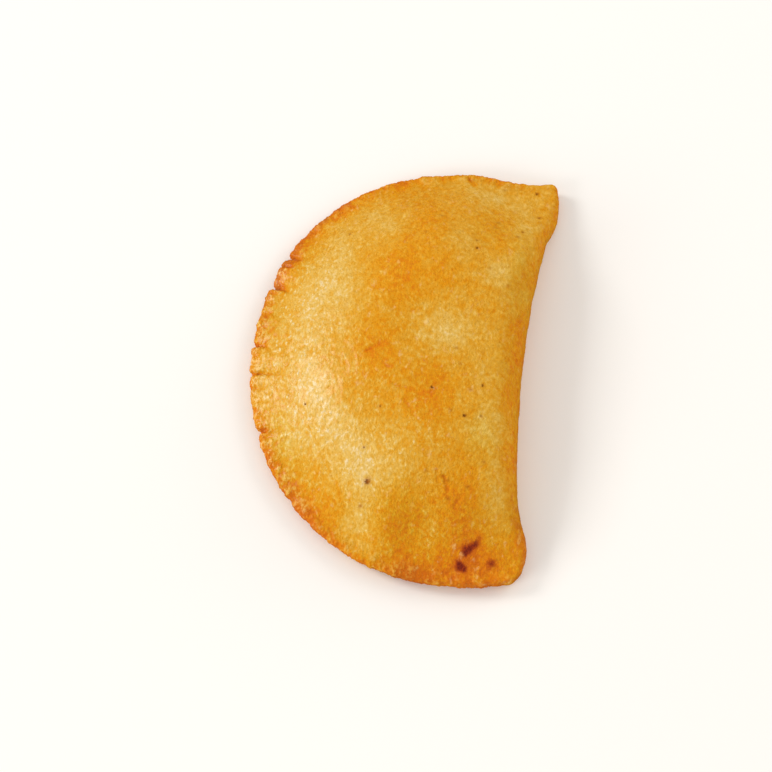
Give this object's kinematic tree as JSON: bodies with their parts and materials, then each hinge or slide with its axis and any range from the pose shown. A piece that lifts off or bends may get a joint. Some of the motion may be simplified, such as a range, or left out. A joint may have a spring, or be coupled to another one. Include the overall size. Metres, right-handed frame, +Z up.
{
  "type": "empanada",
  "caption": "Fried half-moon empanada of golden maize dough, domed over its filling, with a thick rounded fold, a pinched tip and a thin, slightly split sealed rim.",
  "frame": {"origin": "middle of the footprint's bounding box, on the plane that the flat belly rests on", "axes": "+X along the fold from the pinched tip to the rounded corner, +Y from the sealed round rim to the fold, +Z up"},
  "size_m": [0.1632, 0.1096, 0.0276],
  "materials": {
    "fried_masa": "golden fried maize dough, satin with a thin film of oil"
  },
  "bodies": {
    "root": {"empanada": "fried_masa"}
  },
  "joints": []
}
